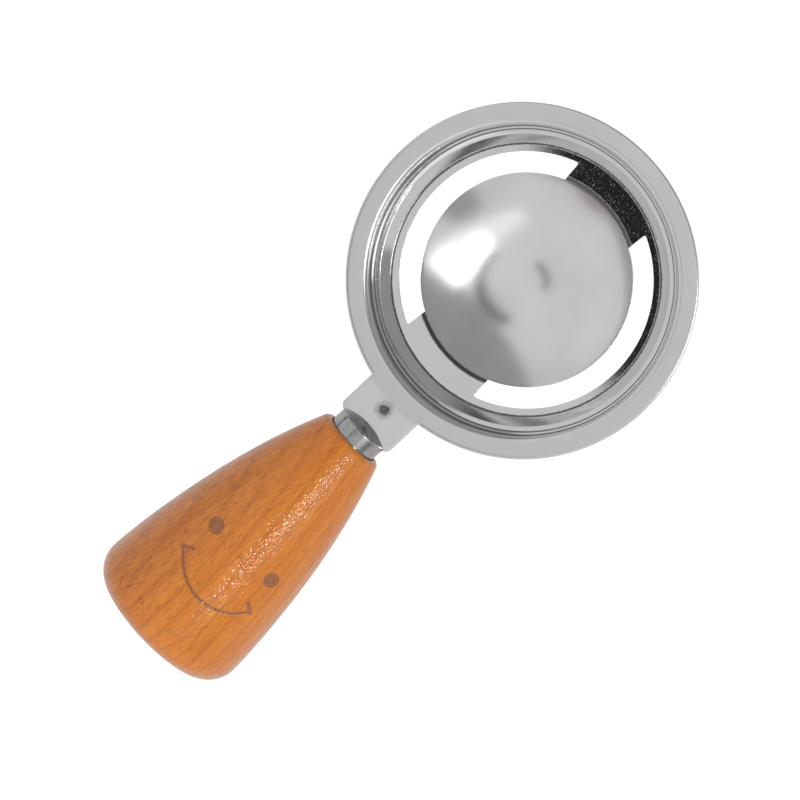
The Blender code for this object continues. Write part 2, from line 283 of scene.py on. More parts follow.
def cup_face(distance):
    """The face of the sheet at a distance under its top face, as (radius, height) from rim to axis."""
    foot, _, slot_inner = cup_radii()
    radius = RIM_RADIUS - FLANGE_WIDTH
    height = 0.0
    corners = [(RIM_RADIUS, 0.0, 0.0), (radius, height, SHOULDER_RADIUS)]
    for inwards, down, corner_radius in WALL_STEPS:
        radius -= inwards
        height -= down
        corners.append((radius, height, corner_radius))
    lip = slot_inner + DISH_LIP
    sphere = (lip**2 + DISH_DEPTH**2) / (2 * DISH_DEPTH)
    slope = math.asin(lip / sphere)
    reach = DISH_EDGE_RADIUS * math.tan((slope - LEDGE_SLOPE) / 2)
    edge_radius = lip + reach * math.cos(slope)
    edge_height = height - (foot - edge_radius) * math.tan(LEDGE_SLOPE)
    lip_height = edge_height - reach * math.sin(slope)
    corners.append((edge_radius, edge_height, DISH_EDGE_RADIUS))
    corners.append((lip, lip_height, 0.0))
    face = rounded(offset(corners, distance), SECTION_ARC_STEP)
    middle = (0.0, lip_height + sphere * math.cos(slope))
    dish = arc(middle, sphere + distance, slope - math.pi / 2, -math.pi / 2, DISH_ROWS)
    return np.array(face[:-1] + dish)


# Columns of the cup's grid, each an angle base + share * (half angle of a bridge)
TAB_COLUMNS = 56
TAB_SIDE_COLUMNS = 12
SLOT_COLUMNS = 118
FAR_BRIDGE_COLUMNS = 40
TAB_ROWS = 34
FLAT_ROW_INSET = 0.0009
DISH_END_SHARE = 0.25
EDGE_STEPS = 3
RIM_EDGE_STEPS = 6


def slot_side():
    """One side of a bridge, as (radius, angle) from the dish out to the slot's rounded corner."""
    _, outer, inner = cup_radii()
    inner_angle = math.asin(BRIDGE_INNER_WIDTH / 2 / inner)
    outer_angle = math.asin(BRIDGE_OUTER_WIDTH / 2 / outer)
    start = np.array([inner * math.cos(inner_angle), inner * math.sin(inner_angle)])
    corner = np.array([outer * math.cos(outer_angle), outer * math.sin(outer_angle)])
    length = np.linalg.norm(corner - start)
    straight = 1 - SLOT_CORNER_RADIUS / length
    shares = list(np.linspace(0, DISH_END_SHARE, 12)) + list(np.linspace(DISH_END_SHARE, straight, 6)[1:])
    points = [start + s * (corner - start) for s in shares]
    last_angle = outer_angle + SLOT_CORNER_RADIUS / outer
    end = np.array([outer * math.cos(last_angle), outer * math.sin(last_angle)])
    first = points[-1]
    for t in np.linspace(0, 1, 7)[1:]:
        points.append((1 - t) ** 2 * first + 2 * t * (1 - t) * corner + t**2 * end)
    return [(math.hypot(*p), math.atan2(p[1], p[0])) for p in points]


def cup_columns(tab_share):
    """(base, share) of each column, anticlockwise from the near bridge's first side."""
    near = list(np.linspace(-1, -tab_share, TAB_SIDE_COLUMNS + 1))
    near += list(np.linspace(-tab_share, tab_share, TAB_COLUMNS + 1)[1:])
    near += list(np.linspace(tab_share, 1, TAB_SIDE_COLUMNS + 1)[1:])
    slot = np.linspace(0, 1, SLOT_COLUMNS + 1)[1:-1]
    columns = [(0.0, u) for u in near]
    columns += [(math.pi * v, 1 - 2 * v) for v in slot]
    columns += [(math.pi, u) for u in np.linspace(-1, 1, FAR_BRIDGE_COLUMNS + 1)]
    columns += [(math.pi * (1 + v), 1 - 2 * v) for v in slot]
    return columns, len(near)


def polar(radius, angle):
    return radius * math.cos(angle), radius * math.sin(angle)


def tab_side():
    """The tab's side as (x, half width) from its root to its end, with the corner rounded."""
    half = TAB_WIDTH / 2
    root = math.sqrt(RIM_RADIUS**2 - half**2)
    turn_rows = 8
    straight = np.linspace(root, TAB_END - TAB_CORNER_RADIUS, TAB_ROWS - turn_rows + 1)
    side = [(x, half) for x in straight]
    centre = (TAB_END - TAB_CORNER_RADIUS, half - TAB_CORNER_RADIUS)
    side += arc(centre, TAB_CORNER_RADIUS, math.pi / 2, 0.0, turn_rows)[1:]
    return side


def weld_dimple(x, y):
    """Height of the spot weld's uneven dimple at a point of the tab."""
    away = math.hypot(x - RIM_RADIUS - WELD_FROM_RIM, y) / WELD_RADIUS
    ripple = 1 + 0.18 * noise.noise(Vector((x, y, 0.0)) * 1800)
    return -WELD_DEPTH * max(0.0, 1 - away**2) ** 1.4 * ripple


def dish_wave(x, y):
    """Unevenness that pressing leaves in the sheet."""
    _, _, inner = cup_radii()
    fade = max(0.0, 1 - (math.hypot(x, y) / inner) ** 4)
    p = Vector((x, y, 0.0))
    return fade * (0.000085 * noise.noise(p * 78) + 0.000012 * noise.noise(p * 240))


def quarter_turn(steps):
    """(run, rise) shares of an eased edge, from its face to its side."""
    turns = [math.pi / 2 * i / steps for i in range(steps + 1)]
    return [(1 - math.sin(t), 1 - math.cos(t)) for t in turns]


def make_cup():
    """The pressed cup, as rows of one polar grid for each face, joined along the edges."""
    _, outer, inner = cup_radii()
    side = slot_side()
    inner_angle = side[0][1]
    outer_angle = side[-1][1]
    tab_share = math.asin(TAB_WIDTH / 2 / RIM_RADIUS) / outer_angle
    columns, near_count = cup_columns(tab_share)
    total = len(columns)
    far_start = near_count + SLOT_COLUMNS - 1
    far_end = far_start + FAR_BRIDGE_COLUMNS
    near_last = near_count - 1
    tab_first = TAB_SIDE_COLUMNS
    tab_last = TAB_SIDE_COLUMNS + TAB_COLUMNS

    def angles(half):
        return [base + share * half for base, share in columns]

    # Outline of the rim and the tab, anticlockwise from the tab's first root corner
    tab_half = tab_side()
    end_width = tab_half[-1][1]
    end_inner = [(TAB_END, y) for y in np.linspace(-end_width, end_width, TAB_COLUMNS + 1)[1:-1]]
    rim_angles = angles(outer_angle)
    rim_columns = list(range(tab_last + 1, total)) + list(range(tab_first))
    outline = [(x, -w) for x, w in tab_half] + end_inner + [(x, w) for x, w in tab_half[::-1]]
    outline += [polar(RIM_RADIUS, rim_angles[i]) for i in rim_columns]
    rows = len(tab_half)

    def slot_outline(sign, inset):
        """The slot on one side, moved into the metal by inset, from the near bridge's dish end."""
        near = [polar(r, sign * a) for r, a in side]
        far = [polar(r, math.pi - sign * a) for r, a in side]
        arc_columns = columns[near_last + 1 : far_start]
        outer_arc = [polar(outer, sign * (b + s * outer_angle)) for b, s in arc_columns]
        inner_arc = [polar(inner, sign * (b + s * inner_angle)) for b, s in arc_columns]
        loop = near + outer_arc + far[::-1] + inner_arc[::-1]
        return inset_loop(loop[::sign], inset)[::sign]

    shell = Shell()

    def face_rows(distance, edge_inset, shaped):
        """One face of the sheet, top or bottom. Returns its outer loop and its two slots' loops."""
        flat_height = -distance
        path = cup_face(distance)
        order = np.argsort(path[:, 0])

        def height(x, y):
            z = float(np.interp(math.hypot(x, y), path[order, 0], path[order, 1]))
            return z + dish_wave(x, y)

        # Rim and tab
        loop = inset_loop(outline, edge_inset)
        edge = shell.row([(x, y, flat_height) for x, y in loop])
        low_side = edge[:rows]
        high_side = edge[rows + TAB_COLUMNS - 1 : 2 * rows + TAB_COLUMNS - 1][::-1]
        end_row = edge[rows : rows + TAB_COLUMNS - 1]
        rim_edge = edge[2 * rows + TAB_COLUMNS - 1 :]
        root = RIM_RADIUS - edge_inset
        shares = np.linspace(0, 1, TAB_COLUMNS + 1)[1:-1]
        tab_rows = []
        for k in range(rows):
            a, b = loop[k], loop[2 * rows + TAB_COLUMNS - 2 - k]
            if k == rows - 1:
                tab_rows.append([low_side[k]] + end_row + [high_side[k]])
                continue
            points = []
            for s in shares:
                y = a[1] + s * (b[1] - a[1])
                bulge = math.sqrt(root**2 - (loop[0][1] * (2 * s - 1)) ** 2) - loop[0][0]
                x = a[0] + bulge * (1 - k / (rows - 1))
                z = flat_height + (weld_dimple(x, y) if shaped else 0.0)
                points.append((x, y, z))
            tab_rows.append([low_side[k]] + shell.row(points) + [high_side[k]])
        for a, b in zip(tab_rows, tab_rows[1:]):
            shell.strip(b, a)
        rim_ring = [None] * total
        rim_ring[tab_first : tab_last + 1] = tab_rows[0]
        for i, v in zip(rim_columns, rim_edge):
            rim_ring[i] = v

        def ring(radius, half, z):
            places = [polar(radius, a) for a in angles(half)]
            return shell.row([(x, y, z + dish_wave(x, y)) for x, y in places])

        # Rings from the rim to the slots, and over the dish
        rings = [rim_ring, ring(RIM_RADIUS - FLAT_ROW_INSET, outer_angle, flat_height)]
        rings += [ring(r, outer_angle, z) for r, z in path[1:] if r >= outer + 3 * CUT_EDGE_RADIUS]
        dish = [ring(r, inner_angle, z) for r, z in path[:-1] if r <= inner - 3 * CUT_EDGE_RADIUS]
        middle = shell.row([(0.0, 0.0, path[-1][1] + dish_wave(0.0, 0.0))])[0]

        # Slots and bridges
        loops = []
        parts = []
        depth = len(side)
        arc_count = far_start - near_last - 1
        for sign in (1, -1):
            moved = slot_outline(sign, CUT_EDGE_RADIUS)
            row = shell.row([(x, y, height(x, y)) for x, y in moved])
            near_part = row[:depth]
            outer_part = row[depth : depth + arc_count]
            far_part = row[depth + arc_count : 2 * depth + arc_count][::-1]
            inner_part = row[2 * depth + arc_count :][::-1]
            parts.append((near_part, outer_part, far_part, inner_part))
            loops.append(row)
        left, right = parts

        def bridge_rows(first, second, base, shares_in):
            made = []
            for k, (radius, angle) in enumerate(side):
                inside = []
                for u in shares_in:
                    x, y = polar(radius, base + u * angle)
                    inside.append((x, y, height(x, y)))
                made.append([first[k]] + shell.row(inside) + [second[k]])
            for a, b in zip(made, made[1:]):
                shell.strip(b, a)
            return made

        near_shares = [columns[i][1] for i in range(1, near_last)]
        far_shares = [columns[i][1] for i in range(far_start + 1, far_end)]
        near_rows = bridge_rows(right[0], left[0], 0.0, near_shares)
        far_rows = bridge_rows(left[2], right[2], math.pi, far_shares)
        outside = near_rows[-1] + left[1] + far_rows[-1] + right[1][::-1]
        inside = near_rows[0] + left[3] + far_rows[0] + right[3][::-1]
        shell.sleeve(rings + [outside])
        shell.sleeve([inside] + dish)
        shell.fan(middle, dish[-1])
        return edge, loops

    top_edge, top_slots = face_rows(0.0, RIM_EDGE_RADIUS, True)
    low_edge, low_slots = face_rows(SHEET, CUT_EDGE_RADIUS, False)
    eased = quarter_turn(EDGE_STEPS)

    # Outer edge, rounded above and eased below
    rings = [top_edge]
    for run, rise in quarter_turn(RIM_EDGE_STEPS)[1:]:
        loop = inset_loop(outline, RIM_EDGE_RADIUS * run)
        rings.append(shell.row([(x, y, -RIM_EDGE_RADIUS * rise) for x, y in loop]))
    for run, rise in eased[:0:-1]:
        loop = inset_loop(outline, CUT_EDGE_RADIUS * run)
        rings.append(shell.row([(x, y, -SHEET + CUT_EDGE_RADIUS * rise) for x, y in loop]))
    rings.append(low_edge)
    shell.sleeve(rings[::-1])

    # Cut edges of the slots, eased above and below
    for sign, top, low in zip((1, -1), top_slots, low_slots):
        top_z = [shell.points[v][2] for v in top]
        low_z = [shell.points[v][2] for v in low]
        rings = [top]
        for heights, turns, way in ((top_z, eased[1:], -1), (low_z, eased[:0:-1], 1)):
            for run, rise in turns:
                loop = slot_outline(sign, CUT_EDGE_RADIUS * run)
                ease = way * CUT_EDGE_RADIUS * rise
                rings.append(shell.row([(x, y, z + ease) for (x, y), z in zip(loop, heights)]))
        shell.sleeve(rings + [low])

    return shell.finish("steel_cup", Matrix.Translation((CUP_X, 0.0, RIM_Z)))


# ---------------------------------------------------------------- turned pieces

FERRULE_TURN = math.radians(2.5)
WOOD_STEP = 0.00045
WOOD_TURN = math.radians(2.2)
WOOD_WAVE = 0.00002
ENGRAVING_STEP = 0.00017
ENGRAVING_RAGGED = 0.00011
SMILE_EXTRA_TURN = 0.1


def turned(outline, angles):
    """A closed shell turned about the handle's axis from a (radius, station) outline, at the angles."""
    shell = Shell()
    rings = []
    for radius, station in outline:
        if radius < 1e-7:
            rings.append(shell.row([(station, 0.0, 0.0)]))
        else:
            rings.append(shell.row([(station, *polar(radius, a)) for a in angles]))
    for a, b in zip(rings, rings[1:] + rings[:1]):
        if len(a) == 1 and len(b) == 1:
            continue
        if len(a) == 1:
            shell.fan(a[0], b)
        elif len(b) == 1:
            shell.fan(b[0], a)
        else:
            shell.strip(a, b, closed=True)
    return shell


def spaced(start, end, step):
    """Evenly spaced values from start up to, but not including, end."""
    return list(np.linspace(start, end, max(1, round((end - start) / step)), endpoint=False))


def sleeve_face(inset):
    """Outside of the ferrule, moved inwards by inset, as (radius, station) from nose to rear."""
    edge_centre = (FERRULE_RADIUS - FERRULE_EDGE_RADIUS, FERRULE_FRONT)
    edge = FERRULE_EDGE_RADIUS
    dome = (edge_centre[0] ** 2 + NOSE_LENGTH**2 - edge**2) / (2 * (NOSE_LENGTH - edge))
    dome_centre = (0.0, FERRULE_FRONT - NOSE_LENGTH + dome)
    meet = math.atan2(edge_centre[1] - dome_centre[1], edge_centre[0] - dome_centre[0])
    nose = arc(dome_centre, dome - inset, -math.pi / 2, meet, 16)
    edge_arc = arc(edge_centre, edge - inset, meet, 0.0, 10)
    return nose + edge_arc[1:] + [(FERRULE_RADIUS - inset, FERRULE_REAR)]


def cut(target, low, high):
    """Cuts a box out of a mesh, by a Boolean that is applied at once."""
    bm = bmesh.new()
    bmesh.ops.create_cube(bm, size=1.0)
    size = Vector(high) - Vector(low)
    place = Matrix.Translation((Vector(high) + Vector(low)) / 2) @ Matrix.Diagonal((*size, 1.0))
    bmesh.ops.transform(bm, matrix=place, verts=bm.verts)
    mesh = bpy.data.meshes.new("cutter")
    bm.to_mesh(mesh)
    bm.free()
    cutter = bpy.data.objects.new("cutter", mesh)
    bpy.context.scene.collection.objects.link(cutter)
    change = target.modifiers.new("Cut", "BOOLEAN")
    change.operation = "DIFFERENCE"
    change.solver = "EXACT"
    change.object = cutter
    graph = bpy.context.evaluated_depsgraph_get()
    result = bpy.data.meshes.new_from_object(target.evaluated_get(graph))
    target.modifiers.clear()
    target.data = result
    bpy.data.objects.remove(cutter)


def make_ferrule():
    """The hollow cap, slotted across its nose for the tab and the tang."""
    outline = sleeve_face(FERRULE_WALL) + sleeve_face(0.0)[::-1]
    shell = turned(outline, spaced(0.0, 2 * math.pi, FERRULE_TURN))
    cap = shell.finish("ferrule_cap", Matrix.Translation((0.0, 0.0, AXIS_Z)))
    wide = 2 * FERRULE_RADIUS
    low = (FERRULE_FRONT - 2 * NOSE_LENGTH, -wide, tang_low.z - GAP)
    cut(cap, low, (FERRULE_FRONT + GAP, wide, RIM_Z + GAP))
    return cap


def belly_curve(stations):
    """Cubic curve of the handle's side, as (radius, station), at the stations before the belly."""
    run = BELLY_X - HANDLE_FRONT
    growth = BELLY_RADIUS - NECK_RADIUS
    points = np.array((
        (NECK_RADIUS, HANDLE_FRONT),
        (NECK_RADIUS + BELLY_FULLNESS * growth, HANDLE_FRONT + NECK_TENSION * run),
        (BELLY_RADIUS, BELLY_X - BELLY_TENSION * run),
        (BELLY_RADIUS, BELLY_X),
    ))
    t = np.linspace(0, 1, 2001)
    weights = np.stack([(1 - t) ** 3, 3 * t * (1 - t) ** 2, 3 * t**2 * (1 - t), t**3], axis=1)
    curve = weights @ points
    return [(float(np.interp(s, curve[:, 1], curve[:, 0])), s) for s in stations if s < BELLY_X]


def smile_stations():
    """Where the smile starts and ends along the handle."""
    start = HANDLE_END - EYE_FROM_END - EYE_RADIUS - ENGRAVING_MARGIN
    return start, HANDLE_END - MOUTH_FROM_END + ENGRAVING_MARGIN


def handle_outline():
    """Closed section of the wood, down its outside to the neck and up the stepped bore."""
    first, last = smile_stations()
    stations = spaced(HANDLE_FRONT, first, WOOD_STEP) + spaced(first, last, ENGRAVING_STEP)
    side = belly_curve(stations + spaced(last, HANDLE_END, WOOD_STEP)) + [(BELLY_RADIUS, BELLY_X)]
    corner_centre = (BELLY_RADIUS - END_CORNER_RADIUS, BELLY_X)
    dome_centre = (0.0, HANDLE_END - END_DOME_RADIUS)
    meet = math.atan2(corner_centre[1] - dome_centre[1], corner_centre[0])
    dome = arc(dome_centre, END_DOME_RADIUS, math.pi / 2, meet, 14)
    corner = arc(corner_centre, END_CORNER_RADIUS, meet, 0.0, 24)
    flare = unit(side[0], side[1])
    edge = min(NECK_EDGE_RADIUS, NECK_WALL)
    kept = [p for p in side if p[1] > HANDLE_FRONT + edge]
    neck_corner = (
        (NECK_RADIUS + edge * flare[0], HANDLE_FRONT + edge * flare[1], 0.0),
        (NECK_RADIUS, HANDLE_FRONT, edge),
        (SOCKET_RADIUS, HANDLE_FRONT, 0.0),
    )
    neck = rounded(neck_corner, SECTION_ARC_STEP)
    bore = [
        (SOCKET_RADIUS, SOCKET_END),
        (TANG_BORE_RADIUS, SOCKET_END),
        (TANG_BORE_RADIUS, BORE_END),
        (0.0, BORE_END),
    ]
    return dome + corner[1:] + kept[::-1][1:] + neck[1:] + bore


def handle_angles():
    """Angles round the handle, close together across the smile."""
    middle = math.pi / 2 - SMILE_TURN
    widest = MOUTH_RADIUS * math.sin(MOUTH_HALF_ANGLE) + 2 * ENGRAVING_MARGIN
    reach = math.asin(widest / BELLY_RADIUS) + SMILE_EXTRA_TURN
    fine = spaced(middle - reach, middle + reach, ENGRAVING_STEP / BELLY_RADIUS)
    coarse = spaced(middle + reach, middle - reach + 2 * math.pi, WOOD_TURN)
    return fine + coarse


def engraved(along, across, ragged):
    """How deep the smile is cut, from 0 to 1, at points of the plane that faces it."""
    eye = np.hypot(along - (HANDLE_END - EYE_FROM_END), np.abs(across) - EYE_SPREAD) - EYE_RADIUS
    centre = HANDLE_END - MOUTH_FROM_END - MOUTH_RADIUS
    from_centre = np.hypot(along - centre, across)
    angle = np.arctan2(np.abs(across), along - centre)
    beyond = np.maximum(angle - MOUTH_HALF_ANGLE, 0.0) * MOUTH_RADIUS
    mouth = np.hypot(from_centre - MOUTH_RADIUS, beyond) - MOUTH_HALF_WIDTH
    radial = from_centre * np.cos(angle - MOUTH_HALF_ANGLE)
    aside = from_centre * np.sin(angle - MOUTH_HALF_ANGLE)
    past = np.maximum(radial - MOUTH_RADIUS - TICK_OUTSIDE, MOUTH_RADIUS - TICK_INSIDE - radial)
    tick = np.hypot(aside, np.maximum(past, 0.0)) - TICK_HALF_WIDTH
    distance = np.minimum(np.minimum(eye, mouth), tick) + ragged
    share = np.clip(0.5 - distance / ENGRAVING_SLOPE, 0.0, 1.0)
    return share * share * (3 - 2 * share)


def make_handle():
    """The turned wood, a little uneven, with the smile cut into it and marked for its material."""
    shell = turned(handle_outline(), handle_angles())
    points = np.array(shell.points)
    outside = np.hypot(points[:, 1], points[:, 2])
    level = points[:, 2] * math.cos(SMILE_TURN) + points[:, 1] * math.sin(SMILE_TURN)
    across = points[:, 1] * math.cos(SMILE_TURN) - points[:, 2] * math.sin(SMILE_TURN)
    ragged = np.array([ENGRAVING_RAGGED * noise.noise(Vector(p) * 1500) for p in points])
    facing = (level > NECK_RADIUS) * (outside > NECK_RADIUS)
    cut_share = engraved(points[:, 0], across, ragged) * facing
    for i, point in enumerate(points):
        if outside[i] < NECK_RADIUS:
            continue
        p = Vector(point)
        fade = min(1.0, (outside[i] - NECK_RADIUS) / NECK_WALL)
        worn = fade * WOOD_WAVE * (noise.noise(p * 90) - 1.0 + (noise.noise(p * 320) - 1.0) / 3)
        scorched = 1 + 0.25 * noise.noise(p * 2600)
        change = worn - ENGRAVING_DEPTH * scorched * cut_share[i]
        points[i, 1:] *= 1 + change / outside[i]
    shell.points = [tuple(p) for p in points.tolist()]
    wood = shell.finish("wooden_handle", Matrix.Translation((0.0, 0.0, AXIS_Z)))
    mark = wood.data.attributes.new("engraved", "FLOAT", "POINT")
    mark.data.foreach_set("value", cut_share.astype(np.float32))
    return wood


def make_tang():
    """The flat tang that is welded under the tab, with eased edges."""
    shoulder = FERRULE_FRONT + TANG_SHOULDER
    corners = (
        (tang_low.x, 0.0, 0.0),
        (tang_low.x, TANG_TONGUE_HALF, TANG_CORNER_RADIUS),
        (FERRULE_FRONT, TANG_TONGUE_HALF, TANG_EDGE_RADIUS),
        (shoulder, TANG_SHANK_HALF, TANG_EDGE_RADIUS),
        (tang_high.x, TANG_SHANK_HALF, TANG_CORNER_RADIUS / 2),
        (tang_high.x, 0.0, 0.0),
    )
    half = rounded(corners, SECTION_ARC_STEP)[1:-1]
    plan = [(x, -y) for x, y in half] + half[::-1]
    shell = Shell()
    rings = []
    for side, level in ((-1, TANG_BOTTOM), (1, TANG_TOP)):
        for run, rise in quarter_turn(EDGE_STEPS)[::-side]:
            loop = inset_loop(plan, TANG_EDGE_RADIUS * run)
            z = level - side * TANG_EDGE_RADIUS * rise
            rings.append(shell.row([(x, y, z) for x, y in loop]))
    shell.sleeve(rings)
    shell.faces.append(tuple(rings[0][::-1]))
    shell.faces.append(tuple(rings[-1]))
    return shell.finish("tang_plate")


# ---------------------------------------------------------------- shader nodes

def fill(tree, made, inputs):
    """Gives a node its inputs: numbers are set, and sockets are linked."""
    for key, value in inputs.items():
        if isinstance(value, bpy.types.NodeSocket):
            tree.links.new(value, made.inputs[key])
        else:
            made.inputs[key].default_value = value


def node(tree, kind, inputs=None, **settings):
    """A new shader node with its settings and inputs."""
    made = tree.nodes.new(kind)
    for name, value in settings.items():
        setattr(made, name, value)
    fill(tree, made, inputs or {})
    return made


def maths(tree, operation, *values, clamp=False):
    inputs = dict(enumerate(values))
    return node(tree, "ShaderNodeMath", inputs, operation=operation, use_clamp=clamp).outputs[0]


def times(tree, first, *others):
    """The product of two or more values."""
    for other in others:
        first = maths(tree, "MULTIPLY", first, other)
    return first


def plus(tree, value, share, start):
    """start + share * value."""
    return maths(tree, "MULTIPLY_ADD", value, share, start)


def dot(tree, a, b):
    return node(tree, "ShaderNodeVectorMath", {0: a, 1: b}, operation="DOT_PRODUCT").outputs["Value"]


def remap(tree, value, low, high, to_low=0.0, to_high=1.0, kind="SMOOTHSTEP"):
    inputs = {"Value": value, "From Min": low, "From Max": high, "To Min": to_low, "To Max": to_high}
    return node(tree, "ShaderNodeMapRange", inputs, interpolation_type=kind, clamp=True).outputs["Result"]


def mixed(tree, factor, a, b):
    """A blend of two colours, from a at 0 to b at 1."""
    return node(tree, "ShaderNodeMix", {0: factor, 6: a, 7: b}, data_type="RGBA").outputs[2]


def new_material(name, metallic=0.0):
    """A new material, its node tree and its main shader."""
    made = bpy.data.materials.new(name)
    made.use_nodes = True
    shader = made.node_tree.nodes["Principled BSDF"]
    shader.inputs["Metallic"].default_value = metallic
    return made, made.node_tree, shader


def surface(tree):
    """The point being shaded, in the object's own coordinates, and its three parts."""
    point = node(tree, "ShaderNodeTexCoord").outputs["Object"]
    parts = node(tree, "ShaderNodeSeparateXYZ", {0: point}).outputs
    return point, parts[0], parts[1], parts[2]


def vector(tree, x, y, z):
    return node(tree, "ShaderNodeCombineXYZ", {0: x, 1: y, 2: z}).outputs[0]


def speckle(tree, point, scale, detail=2.0, roughness=0.5):
    """Noise between 0 and 1, with a scale in features per metre."""
    inputs = {"Vector": point, "Scale": scale, "Detail": detail, "Roughness": roughness}
    return node(tree, "ShaderNodeTexNoise", inputs).outputs["Fac"]


def lines(tree, value, scale, detail=2.0):
    """Noise along one value only, between 0 and 1."""
    inputs = {"W": value, "Scale": scale, "Detail": detail}
    return node(tree, "ShaderNodeTexNoise", inputs, noise_dimensions="1D").outputs["Fac"]


def bump(tree, height, distance, normal=None):
    inputs = {"Height": height, "Distance": distance, "Strength": 1.0}
    if normal is not None:
        inputs["Normal"] = normal
    return node(tree, "ShaderNodeBump", inputs).outputs["Normal"]


def length_of(tree, a, b):
    return maths(tree, "SQRT", plus(tree, b, b, times(tree, a, a)))


def colour(value, tint=(1.0, 1.0, 1.0)):
    return tuple(value * t for t in tint) + (1.0,)


def wavering(tree, start, span, point, scale, detail=2.0):
    """A value made uneven, over a span, by noise."""
    return plus(tree, maths(tree, "SUBTRACT", speckle(tree, point, scale, detail), 0.5), span, start)


def between(tree, value, low, high, soft):
    """How much of a value lies between two soft-edged bounds."""
    above = remap(tree, value, low - soft, low + soft)
    return times(tree, above, remap(tree, value, high + soft, high - soft))


# ---------------------------------------------------------------- steel and resin

DARK_STEEL = 0.735
PALE_STEEL = 0.775
DISH_LEVEL = 0.86
TAB_LEVEL = 0.84
# Colour of the painted shade lines in the cup's creases
CREASE_SHADE_LEVEL = 0.05
SCORCH_LEVEL = 0.04
WALL_ROUGHNESS = 0.055
DISH_EXTRA_ROUGHNESS = 0.15
RIM_EXTRA_ROUGHNESS = 0.12
SCORCH_EXTRA_ROUGHNESS = 0.45


def crease_shade_share(tree, point, radius):
    """Painted shade: dark lines at the dish's edge, in the wall's creases and at the wall's foot."""
    foot, _, inner = cup_radii()
    ragged = wavering(tree, radius, 0.0004, point, 2600, 3.0)
    crease_shade = between(tree, ragged, inner + 0.00015, inner + 0.00110, 0.00012)
    crease = RIM_RADIUS - FLANGE_WIDTH
    for (steep, _, _), (shelf, _, _) in zip(WALL_STEPS[::2], WALL_STEPS[1::2]):
        crease -= steep
        fine = between(tree, radius, crease - 0.00022, crease + 0.00006, 0.00005)
        crease_shade = maths(tree, "MAXIMUM", crease_shade, times(tree, fine, 0.75))
        crease -= shelf
    return maths(tree, "MAXIMUM", crease_shade, between(tree, ragged, foot - 0.00045, foot + 0.00002, 0.00008))


def cup_steel():
    """Pressed stainless sheet: satin in the dish, bright on the wall, with a spot weld's scorch and painted
    shade in its creases.
    """
    made, tree, shader = new_material("pressed_steel", 1.0)
    point, x, y, z = surface(tree)
    radius = length_of(tree, maths(tree, "SUBTRACT", x, CUP_X), y)
    foot, _, inner = cup_radii()
    shoulder = RIM_RADIUS - FLANGE_WIDTH
    dish = remap(tree, radius, inner + 0.0002, inner - 0.0008)
    rim = remap(tree, radius, shoulder - 0.0006, shoulder + 0.0006)
    tab = remap(tree, radius, RIM_RADIUS, RIM_RADIUS + 0.001)
    wall = times(tree, remap(tree, radius, foot - 0.0006, foot), maths(tree, "SUBTRACT", 1.0, rim))

    # Spot weld: a scorched, grainy patch with a faint halo
    weld_x = CUP_X + RIM_RADIUS + WELD_FROM_RIM
    from_weld = length_of(tree, maths(tree, "SUBTRACT", x, weld_x), y)
    grain = speckle(tree, point, 5200, 3.0, 0.7)
    uneven = wavering(tree, from_weld, 0.0012, point, 900)
    core = times(tree, remap(tree, uneven, 0.0017, 0.0010), remap(tree, grain, 0.24, 0.50))
    halo = times(tree, remap(tree, uneven, 0.0027, 0.0011), 0.50)
    scorch = maths(tree, "MAXIMUM", core, halo)

    tone = remap(tree, speckle(tree, point, 70, 3.0), 0.25, 0.75, kind="LINEAR")
    # Painted shade: dark lines in the wall's creases, at the wall's foot and at the dish's edge, broken up
    # by the grain
    crease_shade = times(tree, crease_shade_share(tree, point, radius), remap(tree, grain, 0.20, 0.42))
    base = mixed(tree, tone, colour(DARK_STEEL), colour(PALE_STEEL, (1.0, 1.0, 0.995)))
    base = mixed(tree, times(tree, dish, tone), base, colour(DISH_LEVEL))
    base = mixed(tree, tab, base, colour(TAB_LEVEL))
    base = mixed(tree, times(tree, crease_shade, 0.88), base, colour(CREASE_SHADE_LEVEL))
    base = mixed(tree, times(tree, scorch, 0.90), base, colour(SCORCH_LEVEL))

    rough = plus(tree, dish, DISH_EXTRA_ROUGHNESS, WALL_ROUGHNESS)
    rough = plus(tree, rim, RIM_EXTRA_ROUGHNESS, rough)
    rough = plus(tree, scorch, SCORCH_EXTRA_ROUGHNESS, rough)
    rough = wavering(tree, rough, 0.05, point, 1500, 3.0)

    # Lines left by the drawing die run round the wall; pits and grain are all over
    along = maths(tree, "SUBTRACT", radius, z)
    drawn = times(tree, lines(tree, along, 1900), plus(tree, wall, 0.97, 0.03))
    pits = remap(tree, speckle(tree, point, 4200, 1.0), 0.70, 0.80)
    normal = bump(tree, drawn, 0.00006)
    normal = bump(tree, speckle(tree, point, 3800, 3.0, 0.65), 0.0000022, normal)
    normal = bump(tree, pits, 0.000006, normal)
    fill(tree, shader, {"Base Color": base, "Roughness": rough, "Normal": normal})
    return made


def ferrule_steel():
    """Thin polished tube with handling marks round and along it."""
    made, tree, shader = new_material("ferrule_steel", 1.0)
    point, x, y, z = surface(tree)
    cloud = speckle(tree, point, 500, 4.0, 0.6)
    base = mixed(tree, cloud, colour(0.24, (1.0, 0.985, 1.0)), colour(0.64))
    rough = plus(tree, speckle(tree, point, 1800, 3.0), 0.22, 0.06)
    angle = maths(tree, "ARCTAN2", y, maths(tree, "SUBTRACT", z, AXIS_Z))
    hoops = lines(tree, plus(tree, lines(tree, angle, 2.0), 0.0002, x), 2400, 3.0)
    rubbed = speckle(tree, vector(tree, times(tree, x, 0.12), y, z), 2600, 3.0)
    normal = bump(tree, hoops, 0.000018)
    normal = bump(tree, rubbed, 0.000014, normal)
    normal = bump(tree, speckle(tree, point, 1300), 0.00003, normal)
    fill(tree, shader, {"Base Color": base, "Roughness": rough, "Normal": normal})
    return made


